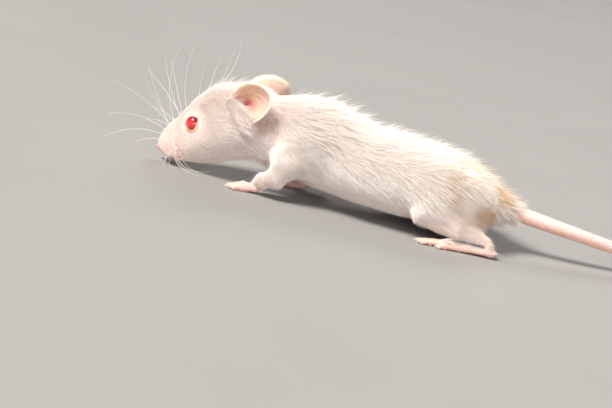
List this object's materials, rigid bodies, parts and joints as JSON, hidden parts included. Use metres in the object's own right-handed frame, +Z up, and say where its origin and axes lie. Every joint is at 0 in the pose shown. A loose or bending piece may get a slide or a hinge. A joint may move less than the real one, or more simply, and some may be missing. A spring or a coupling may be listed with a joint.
{
  "type": "mouse",
  "caption": "white albino pet mouse, a still life-size model: low, stretched forward with its head down, one forepaw ahead and its tail laid on the floor",
  "frame": {"origin": "on the floor under the middle of the box round the whole mouse, tail included", "axes": "+X from the nose towards the tip of the tail, the mouse faces -X; +Y towards its right side; +Z up from the floor it stands on"},
  "size_m": [0.158, 0.03, 0.025],
  "materials": {
    "coat": "soft short white fur, cream where it is thick and pinkish where the skin shows through",
    "ear_skin": "thin bare skin that light shines through, with a pale rim",
    "foot_skin": "bare pink skin with fine creases",
    "tail_skin": "bare skin in fine rings of scales with short hairs",
    "eye": "wet glossy red"
  },
  "bodies": {
    "root": {"head": "coat", "neck": "coat", "chest": "coat", "belly": "coat", "rump": "coat", "foreleg_left": "coat", "foreleg_right": "coat", "hindleg_left": "coat", "hindleg_right": "coat", "ear_left": "ear_skin", "ear_right": "ear_skin", "forefoot_left": "foot_skin", "forefoot_right": "foot_skin", "hindfoot_left": "foot_skin", "hindfoot_right": "foot_skin", "tail_1": "tail_skin", "tail_2": "tail_skin", "tail_3": "tail_skin", "tail_4": "tail_skin", "eye_left": "eye", "eye_right": "eye"}
  },
  "joints": []
}
